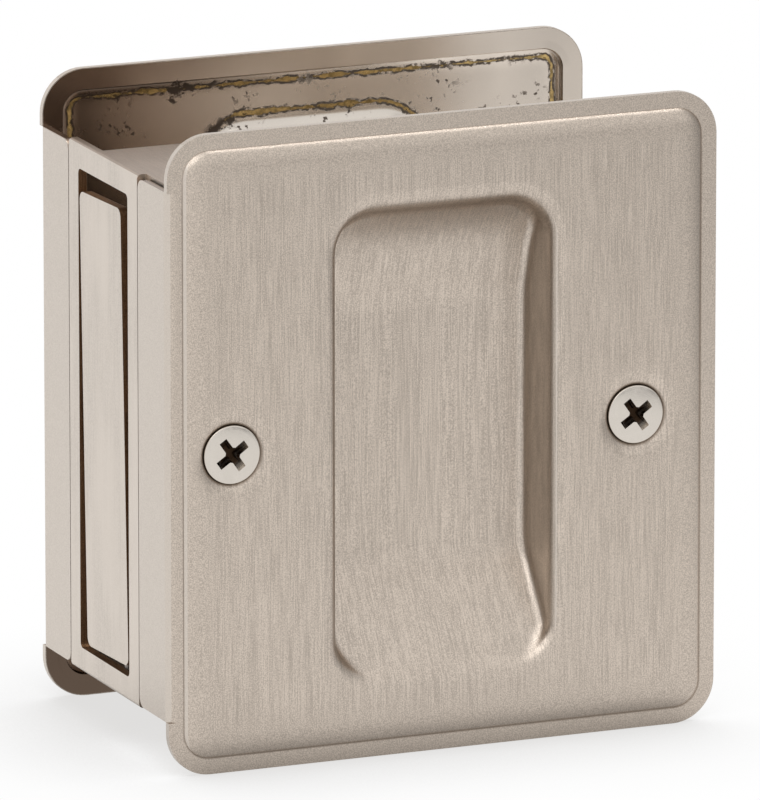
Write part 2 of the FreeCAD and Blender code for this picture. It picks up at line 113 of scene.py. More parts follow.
class PullSizes(bpy.types.PropertyGroup):
    """Sizes of the pressed plate's zones and of the made pieces."""

    rim_width: length("Rim", "Width of the plate's flat rim", 0.00175)
    panel_raise: length("Panel raise", "Height of the panel above the rim", 0.0008)
    panel_roll: length("Panel roll", "Width of the panel's rolled edge", 0.0032)
    hollow_inset: length("Hollow", "Distance from the plate's edge to the hollow behind its panel", 0.0034)
    plate_corner: length("Plate corner", "Corner radius of the plates", 0.00476)
    cup_half_width: length("Cup half width", "Half the width of the finger cup", 0.0125)
    cup_half_height: length("Cup half height", "Half the height of the finger cup", 0.0262)
    cup_drop: length("Cup drop", "How far the cup sits off the plate's middle", 0.0007)
    cup_corner: length("Cup corner", "Corner radius of the finger cup", 0.005)
    cup_floor: length("Cup floor", "Distance of the cup floor from the door's middle", 0.01126)
    cup_depth: length("Cup depth", "Depth of the cup below the panel", 0.0078)
    cup_flat: length("Cup flat", "Half the length of the cup's flat floor", 0.014)
    cup_hollow: length("Cup hollow", "How much the cup's floor rises towards its sides", 0.0009)
    top_depth: length("Top depth", "Depth of the cup's upper ramp at its end", 0.0013)
    bottom_depth: length("Bottom depth", "Depth of the cup's lower ramp at its end", 0.0002)
    top_scoop: angle("Top scoop", "Slope of the cup's upper ramp at its end", 43)
    bottom_scoop: angle("Bottom scoop", "Slope of the cup's lower ramp at its end", 31)
    scoop: length("Scoop", "Length over which a ramp takes its end slope", 0.009)
    side_lip: length("Side lip", "Lip radius at the cup's sides", 0.0015)
    top_lip: length("Top lip", "Lip radius at the cup's upper end", 0.0027)
    bottom_lip: length("Bottom lip", "Lip radius at the cup's lower end", 0.0024)
    side_bend: length("Side bend", "Radius between the cup's sides and floor", 0.0011)
    end_bend: length("End bend", "Radius between the cup's ends and ramps", 0.0036)
    wall_angle: angle("Wall angle", "Steepest slope of the cup's side walls", 86)
    top_angle: angle("Top angle", "Steepest slope of the cup's upper end", 62)
    bottom_angle: angle("Bottom angle", "Steepest slope of the cup's lower end", 33.5)
    dish_radius: length("Dish", "Radius of the dish round a screw where it meets the panel", 0.0037)
    dish_roll: length("Dish roll", "Roll radius of the dish's edge", 0.003)
    dish_slope: angle("Dish slope", "Slope of the dish under the screw head", 49)
    bolt_hole: length("Bolt hole", "Radius of the plate's bolt holes", 0.00265)
    sheet: length("Sheet", "Thickness of the plate's sheet", 0.0008)
    case_sheet: length("Case sheet", "Thickness of the edge case and the edge pull", 0.001)
    slot_half_width: length("Slot half width", "Half the width of the edge case's slot", 0.00706)
    slot_half_height: length("Slot half height", "Half the height of the edge case's slot", 0.0265)
    head_edge: length("Head edge", "Height of the screw head's edge above its cone", 0.00022)
    head_dome: length("Head dome", "Rise of the screw head's crown", 0.00014)
    cone_depth: length("Cone", "Depth of the screw head's cone", 0.00167)
    shank_radius: length("Shank", "Radius over the screw's thread", 0.00175)
    thread_pitch: length("Thread pitch", "Distance between the screw's threads", 0.0007)
    thread_depth: length("Thread depth", "Depth of the screw's thread", 0.0003)
    recess_length: length("Recess length", "Length across the cross recess", 0.0039)
    recess_width: length("Recess width", "Width of the cross recess's arms", 0.00096)
    recess_depth: length("Recess depth", "Depth of the cross recess", 0.0013)
    recess_turn: angle("Recess turn", "Turn of the cross recess", 35)


class PullFinish(bpy.types.PropertyGroup):
    """Colours and marks of the metal, with the colours of its painted light and shade."""

    nickel: colour("Satin nickel", "Plating on the plates", (0.54, 0.468, 0.401))
    # Nickel lightened as painted light for the faces turned to the left: the flanges, the case and the pull
    lit_nickel: colour("Edge nickel", "Plating on the flanges, the case and the pull", (0.62, 0.555, 0.49))
    bright_nickel: colour("Bright nickel", "Polished plating on the screws and barrels", (0.66, 0.61, 0.55))
    inner_nickel: colour("Inner nickel", "Thin plating on the hidden faces", (0.7, 0.62, 0.54))
    brass: colour("Brass", "Base metal where the plating is worn through", (0.42, 0.3, 0.13))
    # Colour of the corrosion in the formed corners, also used for the painted shade deep in the screw
    # recesses
    tarnish_and_shade: colour("Tarnish", "Corrosion in the formed corners", (0.045, 0.027, 0.016))
    # Colour of the painted shade in the crease round the panel and in the ring round each screw head
    painted_shade: colour("Grime", "Dirt in creases and round the screws", (0.13, 0.09, 0.06))
    # Colour of the painted shade on the hidden faces towards the door's edge and on the case's legs
    shade_tint: colour("Film", "Dull film on the hidden faces near the door's edge", (0.25, 0.18, 0.135))
    raw_edge: colour("Raw edge", "Cut edges of the sheet", (0.3, 0.17, 0.09))
    wire: colour("Spring wire", "Drawn steel wire", (0.42, 0.4, 0.38))
    line_pitch: length("Line pitch", "Distance between brush lines", 0.00012)
    line_length: length("Line length", "Length of a brush line", 0.005)
    grain: length("Grain", "Size of the grain on the rim", 0.00012)
    roughness: share("Roughness", "Roughness of the satin plating", 0.34)


class PullStage(bpy.types.PropertyGroup):
    """Camera, lamps and floor."""

    azimuth: angle("Azimuth", "Camera direction round the part", -22.86)
    elevation: angle("Elevation", "Camera height above the part", 13.65)
    distance: length("Distance", "Camera distance", 1.5)
    lens: bpy.props.FloatProperty(
        name="Lens", description="Focal length of the camera", default=625.5, unit="CAMERA")
    aim_right: length("Aim right", "Aim to the right of the part's middle", 0.00031)
    aim_down: length("Aim down", "Aim below the part's middle", 0.00049)
    floor: colour("Floor", "Pale floor", (1.0, 1.0, 1.0))
    shadow: colour("Floor shadow", "Floor where the part shades it", (0.74, 0.73, 0.72))
    fill: share("Fill", "Strength of the studio's light on matt surfaces", 0.8)
    right_side: share("Right side", "Strength of the studio's right side where metal mirrors it", 0.45)
    contact: share("Contact", "Strength of the floor at the part's foot where metal mirrors it", 0.62)
    left_power: power("Left softbox", "Power of the softbox above and to the left", 1.2)
    top_power: power("Top softbox", "Power of the softbox above and to the right", 0.42)


# Material graphs

class Graph:
    """Nodes of a material or a world. A value handed in is another node's socket or a plain constant."""

    def __init__(self, owner):
        self.owner = owner
        owner.use_nodes = True
        self.tree = owner.node_tree
        self.tree.nodes.clear()
        coordinates = self.add("ShaderNodeTexCoord")
        self.place = coordinates.outputs["Object"]
        self.normal = coordinates.outputs["Normal"]
        self.direction = coordinates.outputs["Generated"]

    def add(self, kind, *values, inputs=None, **settings):
        """Node with its first sockets fed in order, others by name, and its own settings."""
        node = self.tree.nodes.new(kind)
        for key, value in settings.items():
            setattr(node, key, value)
        for socket, value in zip(node.inputs, values):
            self.feed(socket, value)
        for name, value in (inputs or {}).items():
            self.feed(node.inputs[name], value)
        return node

    def feed(self, socket, value):
        if isinstance(value, bpy.types.NodeSocket):
            self.tree.links.new(value, socket)
        elif socket.type == "RGBA":
            socket.default_value = (*value[:3], 1)
        else:
            socket.default_value = value

    def math(self, operation, *values):
        return self.add("ShaderNodeMath", *values, operation=operation).outputs[0]

    times = partialmethod(math, "MULTIPLY")
    minus = partialmethod(math, "SUBTRACT")
    larger = partialmethod(math, "MAXIMUM")
    above = partialmethod(math, "GREATER_THAN")
    below = partialmethod(math, "LESS_THAN")
    absolute = partialmethod(math, "ABSOLUTE")

    def vector(self, operation, *values):
        node = self.add("ShaderNodeVectorMath", *values, operation=operation)
        return node.outputs["Value" if operation in ("LENGTH", "DOT_PRODUCT") else "Vector"]

    def axes(self, vector):
        return self.add("ShaderNodeSeparateXYZ", vector).outputs

    def join(self, x, y, z):
        return self.add("ShaderNodeCombineXYZ", x, y, z).outputs[0]

    def between(self, value, low, high, start=0.0, end=1.0):
        """Ease from start to end while the value goes from low to high."""
        node = self.add("ShaderNodeMapRange", value, low, high, start, end, interpolation_type="SMOOTHSTEP")
        return node.outputs[0]

    def noise(self, sizes, detail=2.0, roughness=0.5, shift=0.0):
        """Noise whose cells have the given sizes in metres along X, Y and Z."""
        scaled = self.vector("MULTIPLY", self.place, [1 / size for size in sizes])
        moved = self.vector("ADD", scaled, (shift, shift, shift))
        inputs = {"Vector": moved, "Scale": 1.0, "Detail": detail, "Roughness": roughness}
        return self.add("ShaderNodeTexNoise", inputs=inputs, noise_dimensions="3D").outputs[0]

    def mix(self, factor, first, second):
        node = self.add("ShaderNodeMix", data_type="RGBA")
        self.feed(node.inputs[0], factor)
        self.feed(node.inputs[6], first)
        self.feed(node.inputs[7], second)
        return node.outputs[2]

    def vary(self, factor, rgb, low, high):
        """Colour between two strengths of the same colour."""
        return self.mix(factor, tint(rgb, low), tint(rgb, high))

    def blend(self, factor, first, second):
        """Value between two values."""
        node = self.add("ShaderNodeMix", data_type="FLOAT")
        self.feed(node.inputs[0], factor)
        self.feed(node.inputs[2], first)
        self.feed(node.inputs[3], second)
        return node.outputs[0]

    def round_box(self, across, up, half_width, half_height, corner):
        """Signed distance from an upright rectangle with round corners."""
        spread = self.vector("ABSOLUTE", self.join(across, 0.0, up))
        reach = self.vector("SUBTRACT", spread, (half_width - corner, 0.0, half_height - corner))
        outside = self.vector("LENGTH", self.vector("MAXIMUM", reach, (0.0, 0.0, 0.0)))
        x, _, z = self.axes(reach)
        inside = self.math("MINIMUM", self.larger(x, z), 0.0)
        return self.minus(self.math("ADD", outside, inside), corner)

    def bolt_ring(self, x, up):
        """Distance from the nearer bolt's axis."""
        across = self.minus(self.absolute(self.minus(x, sum(BOLTS) / 2)), SCREW_SPACING / 2)
        return self.vector("LENGTH", self.join(across, 0.0, up))

    def finish(self, base, roughness, height, depth):
        """Close the graph with a metal shader and return the material."""
        bump = self.add("ShaderNodeBump", inputs={"Strength": 1.0, "Distance": depth, "Height": height})
        shader = self.add("ShaderNodeBsdfPrincipled", inputs={
            "Base Color": base, "Metallic": 1.0, "Roughness": roughness, "Normal": bump.outputs[0]})
        self.add("ShaderNodeOutputMaterial", shader.outputs[0])
        return self.owner


def tint(rgb, factor):
    return tuple(min(1.0, channel * factor) for channel in rgb)


def brush_lines(graph, finish, deep):
    """Fine upright lines of the brushing, 0 to 1, whose pattern changes slowly over the given depth."""
    fine = graph.noise((finish.line_pitch, deep, finish.line_length), 3.0, 0.6)
    broad = graph.noise((finish.line_pitch * 6, deep * 6, finish.line_length * 4), 2.0, 0.5, 31.0)
    grain = graph.noise((finish.grain,) * 3, 1.0, 0.5, 7.0)
    lines = graph.math("MULTIPLY_ADD", fine, 0.42, graph.times(broad, 0.1))
    return graph.between(graph.math("MULTIPLY_ADD", grain, 0.48, lines), 0.4, 0.6)


def bead_grain(graph, finish):
    """Fine even grain of the unbrushed plating, 0 to 1."""
    grain = graph.noise((finish.grain,) * 3, 1.0, 0.5, 7.0)
    return graph.between(grain, 0.28, 0.72)


def plate_metal(sizes, finish):
    """Satin nickel on the plates: brushed panel, grainy rim, corroded inner faces, painted shade round the
    screws, in the crease, on the cup's walls and on the hidden faces, and painted light on the flanges and
    the back of the cup.
    """
    graph = Graph(bpy.data.materials.new("satin_nickel_plate"))
    x, y, z = graph.axes(graph.place)
    normal_x, normal_y, _ = graph.axes(graph.normal)
    side = graph.math("SIGN", y)
    out = graph.times(normal_y, side)
    up = graph.minus(z, HALF_HEIGHT)
    cup_up = graph.minus(up, graph.times(side, sizes.cup_drop))
    panel_edge = graph.round_box(
        x, up, HALF_WIDTH - sizes.rim_width, HALF_HEIGHT - sizes.rim_width,
        sizes.plate_corner - sizes.rim_width)
    cup_edge = graph.round_box(x, cup_up, sizes.cup_half_width, sizes.cup_half_height, sizes.cup_corner)

    # Outer faces: turned outwards, inside the cup, or on the plate's cut edge
    turned_out = graph.above(out, 0.1)
    above_floor = graph.above(graph.absolute(y), sizes.cup_floor - sizes.sheet / 2)
    turned_in = graph.below(graph.vector("DOT_PRODUCT", graph.normal, graph.join(x, 0.0, cup_up)), 0.0)
    in_cup = graph.times(graph.times(graph.below(cup_edge, sizes.sheet / 2), above_floor), turned_in)
    on_edge = graph.above(panel_edge, sizes.rim_width - 0.1 * MM)
    outer = graph.larger(graph.larger(turned_out, in_cup), on_edge)

    # The rim and the rolled edges keep the bare grain, the flat panel is brushed
    unbrushed = graph.between(panel_edge, -4.5 * MM, -1.0 * MM)
    lines = brush_lines(graph, finish, 1.2 * MM)
    grain = bead_grain(graph, finish)
    texture = graph.blend(unbrushed, lines, grain)
    cloud = graph.noise((12 * MM, 12 * MM, 20 * MM), 2.0, 0.5, 3.0)
    nickel = graph.vary(texture, finish.nickel, 0.8, 1.22)
    # Painted shade: the cup's side walls take a darker copy of the nickel
    wall_shade = graph.times(in_cup, graph.between(graph.absolute(normal_x), 0.4, 0.9))
    shaded_nickel = graph.vary(texture, finish.nickel, 0.74, 0.98)
    nickel = graph.mix(wall_shade, nickel, shaded_nickel)
    # Painted light: the flanges, turned to the left, take the lighter nickel
    flange = graph.below(graph.math("ADD", normal_x, in_cup), -0.6)
    light = graph.vary(texture, finish.lit_nickel, 0.95, 1.06)
    nickel = graph.mix(flange, nickel, light)

    # Painted shade in the ring between a screw head and its dish, and along the crease round the panel,
    # where it fades out at the top
    ring = graph.bolt_ring(x, up)
    ring_shade = graph.between(ring, SCREW_RADIUS + 0.1 * MM, SCREW_RADIUS + 0.5 * MM, 0.75, 0.0)
    crease_line = graph.absolute(graph.minus(panel_edge, 0.03 * MM))
    below_top = graph.between(up, HALF_HEIGHT - 8 * MM, HALF_HEIGHT - 3 * MM, 0.3, 0.0)
    crease_shade = graph.times(graph.between(crease_line, 0.02 * MM, 0.12 * MM, 1.0, 0.0), below_top)
    painted_shade = graph.larger(ring_shade, crease_shade)
    nickel = graph.mix(painted_shade, nickel, finish.painted_shade)

    # Inner faces: thin plating, brass at the foot of the bends, dark corrosion beside it
    back_edge = graph.minus(cup_edge, sizes.sheet + 0.5 * MM)
    near_hollow = graph.absolute(graph.math("ADD", panel_edge, sizes.hollow_inset - sizes.rim_width))
    near_cup = graph.absolute(back_edge)
    crease = graph.math("MINIMUM", near_hollow, near_cup)
    ragged = graph.noise((2.2 * MM,) * 3, 5.0, 0.65, 11.0)
    wander = graph.times(graph.minus(ragged, 0.5), 1.5 * MM)
    frayed = graph.math("ADD", crease, wander)
    brass = graph.between(frayed, 0.1 * MM, 0.18 * MM, 1.0, 0.0)
    border = graph.between(graph.absolute(graph.minus(frayed, 0.24 * MM)), 0.05 * MM, 0.2 * MM, 1.0, 0.0)
    speck = graph.noise((0.8 * MM,) * 3, 3.0, 0.6, 19.0)
    cluster = graph.noise((6 * MM,) * 3, 2.0, 0.5, 23.0)
    in_hollow = graph.below(panel_edge, sizes.rim_width - sizes.hollow_inset)
    pits = graph.times(graph.between(speck, 0.58, 0.64), graph.between(cluster, 0.48, 0.6))
    pits = graph.times(pits, in_hollow)
    blot = graph.between(graph.math("MULTIPLY_ADD", crease, -0.12 / MM, ragged), 0.5, 0.56)
    blot = graph.times(blot, graph.between(cluster, 0.46, 0.56))
    stain = graph.larger(graph.times(border, graph.between(speck, 0.36, 0.5)), blot)
    dirt = graph.times(graph.larger(stain, pits), 0.85)
    inner = graph.vary(graph.between(cloud, 0.3, 0.7), finish.inner_nickel, 0.92, 1.1)
    # Painted shade: the hidden faces darken towards the door's edge
    inner = graph.mix(graph.between(x, -26 * MM, 6 * MM, 1.0, 0.0), inner, finish.shade_tint)
    # Painted light: the back of the cup takes the bright nickel over the painted shade
    cup_back_light = graph.between(back_edge, -0.8 * MM, -0.2 * MM, 0.8, 0.0)
    inner = graph.mix(cup_back_light, inner, finish.bright_nickel)
    brass_tone = graph.vary(graph.between(speck, 0.36, 0.62), finish.brass, 0.6, 1.3)
    inner = graph.mix(brass, inner, brass_tone)
    inner = graph.mix(dirt, inner, finish.tarnish_and_shade)

    base = graph.mix(outer, inner, nickel)
    satin = graph.blend(texture, finish.roughness + 0.05, finish.roughness - 0.05)
    dull = graph.blend(dirt, 0.24, 0.7)
    roughness = graph.blend(outer, dull, satin)
    height = graph.blend(outer, graph.minus(1.0, dirt), texture)
    return graph.finish(base, roughness, height, BUMP)


def edge_metal(name, sizes, finish, slotted):
    """Satin nickel on the edge case and the edge pull, lightened as painted light, with raw metal where the
    sheet was cut and, on the case, painted shade on its legs.
    """
    graph = Graph(bpy.data.materials.new(name))
    x, y, z = graph.axes(graph.place)
    normal_x, _, normal_z = graph.axes(graph.normal)
    lines = brush_lines(graph, finish, finish.line_pitch)
    cloud = graph.noise((6 * MM, 6 * MM, 20 * MM), 2.0, 0.5, 5.0)
    # Painted light: the case and the pull take the lighter nickel of the faces turned to the left
    nickel = graph.vary(lines, finish.lit_nickel, 0.93, 1.07)
    nickel = graph.mix(graph.between(cloud, 0.35, 0.7), nickel, tint(finish.lit_nickel, 1.1))
    up = graph.minus(z, HALF_HEIGHT)
    in_sheet = graph.below(x, plate_low.x + sizes.case_sheet - 0.02 * MM)
    sideways = graph.below(graph.absolute(normal_x), 0.6)
    raw = graph.times(in_sheet, sideways)
    if slotted:
        slot_edge = graph.round_box(y, up, sizes.slot_half_width, sizes.slot_half_height, 0.6 * MM)
        raw = graph.times(raw, graph.below(slot_edge, 0.3 * MM))

        # The legs are brushed across and darkened with painted shade, darker still inside the case
        on_leg = graph.above(graph.absolute(normal_z), 0.7)
        behind = graph.above(normal_x, 0.5)
        turned_in = graph.below(graph.times(normal_z, up), 0.0)
        inside = graph.larger(behind, graph.times(on_leg, turned_in))
        strokes = graph.noise((finish.line_pitch, finish.line_length, finish.line_pitch), 3.0, 0.6)
        shaded_leg = graph.vary(graph.between(strokes, 0.35, 0.65), finish.shade_tint, 1.0, 1.4)
        nickel = graph.mix(graph.times(on_leg, 0.7), nickel, shaded_leg)
        nickel = graph.mix(inside, nickel, tint(finish.shade_tint, 0.65))
    base = graph.mix(raw, nickel, graph.vary(lines, finish.raw_edge, 0.6, 1.0))
    satin = graph.blend(lines, finish.roughness + 0.06, finish.roughness - 0.04)
    roughness = graph.blend(raw, satin, 0.5)
    return graph.finish(base, roughness, lines, BUMP)


def bright_metal(sizes, finish):
    """Polished nickel with turning marks round each bolt and painted shade deep in the recess."""
    graph = Graph(bpy.data.materials.new("polished_nickel"))
    x, y, z = graph.axes(graph.place)
    ring = graph.bolt_ring(x, graph.minus(z, HALF_HEIGHT))
    inputs = {"W": graph.times(ring, 9 / MM), "Scale": 1.0}
    marks = graph.add("ShaderNodeTexNoise", inputs=inputs, noise_dimensions="1D")
    smear = graph.noise((1.2 * MM,) * 3, 3.0, 0.6, 2.0)
    # Painted shade: the recess darkens with depth
    deep = graph.between(y, screws_low.y + 0.35 * MM, screws_low.y + 1.1 * MM)
    in_recess = graph.below(ring, sizes.recess_length / 2 + 0.1 * MM)
    shank = graph.above(y, screws_low.y + sizes.recess_depth + 0.1 * MM)
    painted_shade = graph.times(graph.times(deep, in_recess), graph.minus(1.0, shank))
    nickel = graph.vary(smear, finish.bright_nickel, 0.9, 1.08)
    base = graph.mix(painted_shade, nickel, finish.tarnish_and_shade)
    roughness = graph.blend(painted_shade, graph.between(smear, 0.3, 0.7, 0.12, 0.24), 0.6)
    return graph.finish(base, roughness, marks.outputs[0], BUMP / 3)


def wire_metal(finish):
    """Drawn spring steel with faint draw marks and a little rust in the coil."""
    graph = Graph(bpy.data.materials.new("drawn_wire"))
    draw = graph.noise((0.2 * MM, 0.2 * MM, 0.6 * MM), 2.0)
    rust = graph.noise((1.6 * MM,) * 3, 3.0, 0.6, 4.0)
    base = graph.vary(graph.between(draw, 0.3, 0.7), finish.wire, 0.85, 1.1)
    base = graph.mix(graph.between(rust, 0.55, 0.72), base, finish.raw_edge)
    roughness = graph.between(rust, 0.3, 0.75, 0.25, 0.5)
    return graph.finish(base, roughness, draw, BUMP / 2)


# Meshes

def link(tree, pairs):
    for source, target in pairs:
        tree.links.new(source, target)


def soften_tree():
    """Nodes that join a solid's loose triangles and smooth all but its sharp edges."""
    tree = bpy.data.node_groups.new("smooth_sheet", "GeometryNodeTree")
    tree.interface.new_socket("Geometry", in_out="INPUT", socket_type="NodeSocketGeometry")
    weld = tree.interface.new_socket("Weld distance", in_out="INPUT", socket_type="NodeSocketFloat")
    weld.default_value = 2 * WELD
    crease = tree.interface.new_socket("Crease angle", in_out="INPUT", socket_type="NodeSocketFloat")
    crease.default_value = math.radians(SHEET_CREASE)
    tree.interface.new_socket("Geometry", in_out="OUTPUT", socket_type="NodeSocketGeometry")
    new = tree.nodes.new
    given = new("NodeGroupInput").outputs
    merge = new("GeometryNodeMergeByDistance")
    turn = new("GeometryNodeInputMeshEdgeAngle")
    sharp = new("FunctionNodeCompare")
    sharp.operation = "LESS_EQUAL"
    faces = new("GeometryNodeSetShadeSmooth")
    edges = new("GeometryNodeSetShadeSmooth")
    edges.domain = "EDGE"
    end = new("NodeGroupOutput")
    link(tree, (
        (given["Geometry"], merge.inputs["Geometry"]),
        (given["Weld distance"], merge.inputs["Distance"]),
        (merge.outputs[0], faces.inputs["Geometry"]),
        (faces.outputs[0], edges.inputs["Geometry"]),
        (turn.outputs["Unsigned Angle"], sharp.inputs[0]),
        (given["Crease angle"], sharp.inputs[1]),
        (sharp.outputs[0], edges.inputs["Shade Smooth"]),
        (edges.outputs[0], end.inputs[0])))
    return tree


def dress(node, material):
    """Give a solid its finish and smooth its bends; its mesh stays as it is."""
    piece = frame["nodes"][node]
    piece.data.materials.clear()
    piece.data.materials.append(material)
    tree = bpy.data.node_groups.get("smooth_sheet") or soften_tree()
    smooth = piece.modifiers.new("smooth_sheet", "NODES")
    smooth.node_group = tree
    weigh_normals(piece)


def weigh_normals(piece):
    """Keep flat faces flat beside their bends."""
    weight = piece.modifiers.new("flat_faces", "WEIGHTED_NORMAL")
    weight.mode = "FACE_AREA"
    weight.weight = 100
    weight.keep_sharp = True


def new_object(name, data):
    item = bpy.data.objects.new(name, data)
    bpy.context.scene.collection.objects.link(item)
    return item


def new_piece(name, mesh, material):
    mesh.materials.clear()
    mesh.materials.append(material)
    return new_object(name, mesh)


def baked(piece):
    """Plain mesh of a piece with its modifiers worked in."""
    bpy.context.view_layer.update()
    graph = bpy.context.evaluated_depsgraph_get()
    return bpy.data.meshes.new_from_object(piece.evaluated_get(graph))


def combined(mesh, tool, operation):
    """Mesh joined with another or cut by it."""
    first = new_object("first", mesh)
    second = new_object("second", tool)
    modifier = first.modifiers.new("combine", "BOOLEAN")
    modifier.operation = operation
    modifier.object = second
    modifier.solver = "EXACT"
    result = baked(first)
    bpy.data.objects.remove(first)
    bpy.data.objects.remove(second)
    return result


def finished_mesh(name, shape):
    """Mesh of a finished shape with its doubles joined and its faces turned one way, outwards if closed."""
    bmesh.ops.remove_doubles(shape, verts=shape.verts, dist=WELD)
    bmesh.ops.recalc_face_normals(shape, faces=shape.faces)
    mesh = bpy.data.meshes.new(name)
    shape.to_mesh(mesh)
    shape.free()
    return mesh


def skin(shape, loops):
    """Faces between loops of equal count, each closed on itself."""
    for lower, upper in zip(loops, loops[1:]):
        for index in range(len(lower)):
            after = (index + 1) % len(lower)
            shape.faces.new((lower[index], lower[after], upper[after], upper[index]))


def welded_copy(node):
    """Copy of a solid's mesh with its triangles joined."""
    shape = bmesh.new()
    shape.from_mesh(frame["nodes"][node].data)
    return finished_mesh(node + "_copy", shape)


# Pressed plate

CORNER_STEPS = 12
END_STEPS = 44
SIDE_STEPS = 130
FLOOR_STEPS = 12
LIP_STEPS = 8
WALL_STEPS = 8
BEND_STEPS = 10
FLAT_STEPS = 40
ROLL_STEPS = 20
ROLL_SPREAD = 0.6
RAMP_BEND = 1.5 * MM
BORDER = 0.25 * MM
SINK = 0.02 * MM
SMALLEST_CORNER = 0.4 * MM
CUT = (plate_low.y - 5 * MM, -5 * MM)
FEWEST_SHEET_FACES = 20000


def outline(half_width, half_height, corner, middle=0.0):
    """Points round an upright rectangle with round corners, with their outward directions."""
    inner_width = half_width - corner
    inner_height = half_height - corner
    points = []
    for quarter, (right, top) in enumerate(((1, 1), (-1, 1), (-1, -1), (1, -1))):
        for step in range(CORNER_STEPS):
            turn = quarter * math.pi / 2 + math.pi / 2 * step / CORNER_STEPS
            facing = (math.cos(turn), math.sin(turn))
            points.append((inner_width * right + corner * facing[0],
                           inner_height * top + corner * facing[1] + middle, *facing))
        level = quarter % 2 == 0
        steps = END_STEPS if level else SIDE_STEPS
        for step in range(steps):
            along = 1 - 2 * step / steps
            if level:
                points.append((inner_width * along * right, half_height * top + middle, 0, top))
            else:
                points.append((half_width * right, inner_height * along * top + middle, right, 0))
    return points


def ramp(sizes, upper):
    """Slope at the end and before it of the cup's upper or lower ramp."""
    end = sizes.top_depth if upper else sizes.bottom_depth
    steep = math.tan(sizes.top_scoop if upper else sizes.bottom_scoop)
    run = sizes.cup_half_height - sizes.cup_flat
    return steep, (sizes.cup_depth - end - sizes.scoop * steep / 2) / (run - sizes.scoop / 2)


def floor_depth(sizes, across, up):
    """Depth of the cup's floor and ramps at a place measured from the cup's middle."""
    steep, plain = ramp(sizes, up > 0)
    past = abs(up) - sizes.cup_flat
    rise = max(0.0, past)
    if abs(past) <= RAMP_BEND:
        rise = (past + RAMP_BEND) ** 2 / (4 * RAMP_BEND)
    scoop = 0.0
    near_end = 1 - (sizes.cup_half_height - abs(up)) / sizes.scoop
    if near_end > 0:
        scoop = (steep - plain) * sizes.scoop * (near_end ** 3 - near_end ** 4 / 2)
    hollow = sizes.cup_hollow * (across / sizes.cup_half_width) ** 2 * max(0.0, 1 - rise / sizes.cup_flat)
    return sizes.cup_depth - plain * rise - scoop - hollow


def wall_profile(depth, slope, lip, bend, steepest):
    """Offsets inwards and depths from the panel over the lip and down the wall to the floor."""
    flat = math.atan(slope)

    def spare(turn):
        wall = depth / ((math.tan(turn) - slope) * math.cos(turn))
        return wall - lip * math.tan(turn / 2) - bend * math.tan((turn - flat) / 2)

    steep = steepest
    if spare(steepest) < 0:
        low, high = flat + 0.001, steepest
        for _ in range(40):
            steep = (low + high) / 2
            if spare(steep) > 0:
                low = steep
            else:
                high = steep
    wall = max(0.0, spare(steep))
    points = []
    start = -lip * math.tan(steep / 2)
    for step in range(LIP_STEPS + 1):
        turn = steep * step / LIP_STEPS
        points.append((start + lip * math.sin(turn), lip * (1 - math.cos(turn))))
    across, down = points[-1]
    for step in range(1, WALL_STEPS + 1):
        points.append((across + wall * math.cos(steep) * step / WALL_STEPS,
                       down + wall * math.sin(steep) * step / WALL_STEPS))
    across, down = points[-1]
    for step in range(1, BEND_STEPS + 1):
        turn = steep + (flat - steep) * step / BEND_STEPS
        points.append((across + bend * (math.sin(steep) - math.sin(turn)),
                       down + bend * (math.cos(turn) - math.cos(steep))))
    return points


